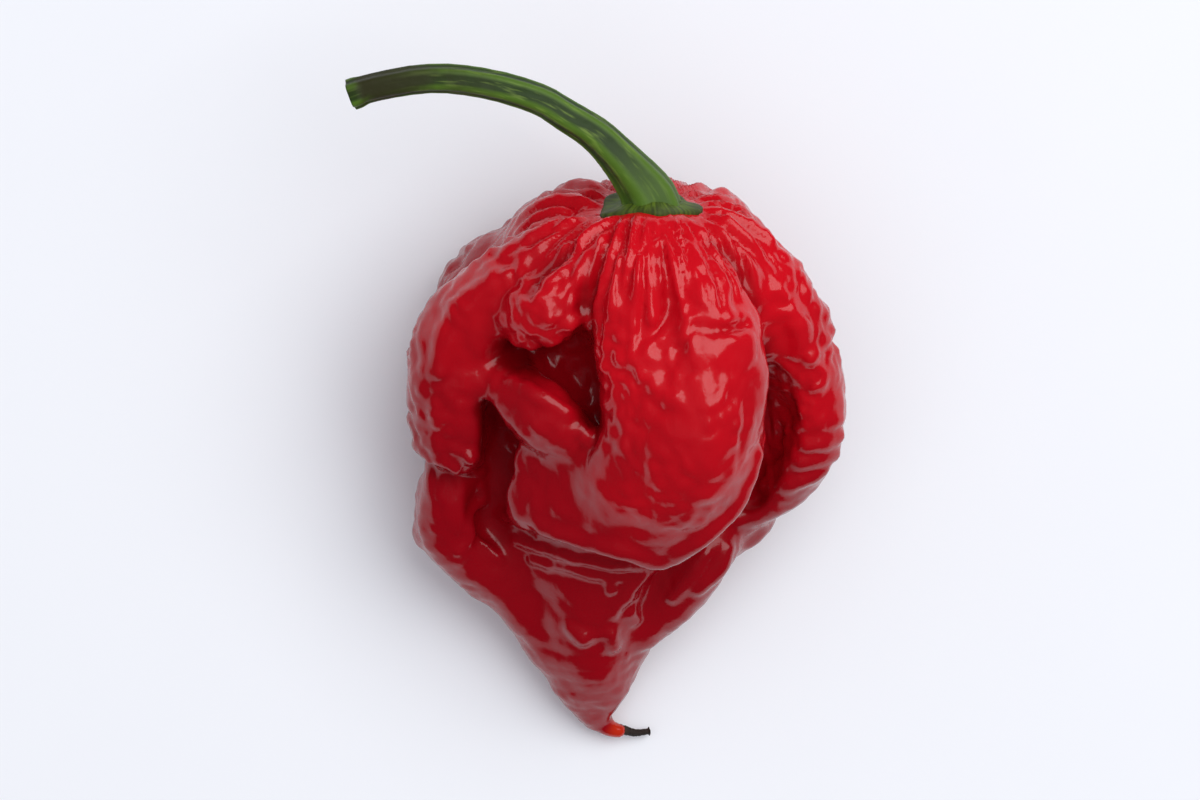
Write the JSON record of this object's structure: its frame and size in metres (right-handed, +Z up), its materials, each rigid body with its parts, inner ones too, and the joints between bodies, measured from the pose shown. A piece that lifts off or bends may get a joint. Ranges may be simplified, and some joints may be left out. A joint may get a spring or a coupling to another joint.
{
  "type": "hot chilli pepper",
  "caption": "Wrinkled, lobed superhot chilli pod with a pointed tail, a thin green calyx and a long curved stem, lying on its side.",
  "frame": {"origin": "on the surface that the pepper lies on, under the middle of its outline seen from above", "axes": "+Y towards the stem end, the pointed tail at -Y, +Z up from the surface, +X to the right with the stem bending to -X"},
  "size_m": [0.0441, 0.0601, 0.0314],
  "materials": {
    "red_skin": "waxy glossy red fruit skin, finely wrinkled",
    "green_calyx": "satin green leaf tissue, browned at the edge",
    "green_stem": "satin green stem, ribbed along its length",
    "dry_style": "dull, dry, dark brown"
  },
  "bodies": {
    "root": {"pod": "red_skin", "calyx": "green_calyx", "stem": "green_stem", "style_tip": "dry_style"}
  },
  "joints": []
}
